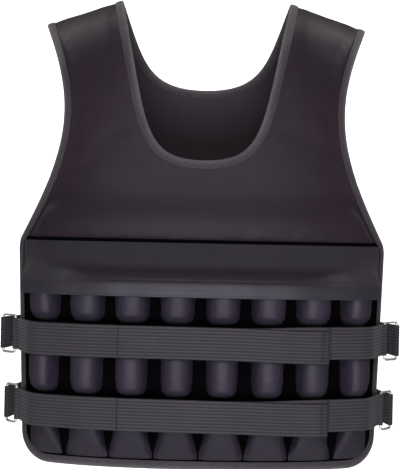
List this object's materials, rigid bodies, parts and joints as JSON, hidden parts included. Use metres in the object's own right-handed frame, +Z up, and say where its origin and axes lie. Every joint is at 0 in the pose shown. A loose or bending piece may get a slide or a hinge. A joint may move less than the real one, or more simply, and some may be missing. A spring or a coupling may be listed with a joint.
{
  "type": "weighted vest",
  "caption": "Sleeveless padded training vest with rows of filled weight pockets under a chest flap and elastic belts that close its sides through wire rings.",
  "frame": {"origin": "midway between the two shoulder seams, at the middle of each seam's height and in the line where the front and back panels meet", "axes": "+Z up as worn, +X towards the right of the picture, which is the wearer's left, and -Y out of the vest's front"},
  "size_m": [0.5168, 0.2602, 0.5992],
  "materials": {
    "panel_cloth": "matt nylon over foam",
    "pocket_cloth": "smooth nylon",
    "edge_tape": "woven tape",
    "elastic": "ribbed elastic",
    "wire": "polished"
  },
  "bodies": {
    "root": {"front_panel": "panel_cloth", "back_panel": "panel_cloth", "pocket_flap": "panel_cloth", "front_edge_binding": "edge_tape", "back_edge_binding": "edge_tape", "front_neck_binding": "edge_tape", "back_neck_binding": "edge_tape", "weight_pocket_top_1": "pocket_cloth", "weight_pocket_top_2": "pocket_cloth", "weight_pocket_top_3": "pocket_cloth", "weight_pocket_top_4": "pocket_cloth", "weight_pocket_top_5": "pocket_cloth", "weight_pocket_top_6": "pocket_cloth", "weight_pocket_top_7": "pocket_cloth", "weight_pocket_top_8": "pocket_cloth", "weight_pocket_middle_1": "pocket_cloth", "weight_pocket_middle_2": "pocket_cloth", "weight_pocket_middle_3": "pocket_cloth", "weight_pocket_middle_4": "pocket_cloth", "weight_pocket_middle_5": "pocket_cloth", "weight_pocket_middle_6": "pocket_cloth", "weight_pocket_middle_7": "pocket_cloth", "weight_pocket_middle_8": "pocket_cloth", "weight_pocket_bottom_1": "pocket_cloth", "weight_pocket_bottom_2": "pocket_cloth", "weight_pocket_bottom_3": "pocket_cloth", "weight_pocket_bottom_4": "pocket_cloth", "weight_pocket_bottom_5": "pocket_cloth", "weight_pocket_bottom_6": "pocket_cloth", "weight_pocket_bottom_7": "pocket_cloth", "weight_pocket_bottom_8": "pocket_cloth", "upper_belt_long": "elastic", "upper_belt_short": "elastic", "upper_belt_rear": "elastic", "upper_ring_right": "wire", "upper_ring_left": "wire", "lower_belt_long": "elastic", "lower_belt_short": "elastic", "lower_belt_rear": "elastic", "lower_ring_right": "wire", "lower_ring_left": "wire"}
  },
  "joints": []
}
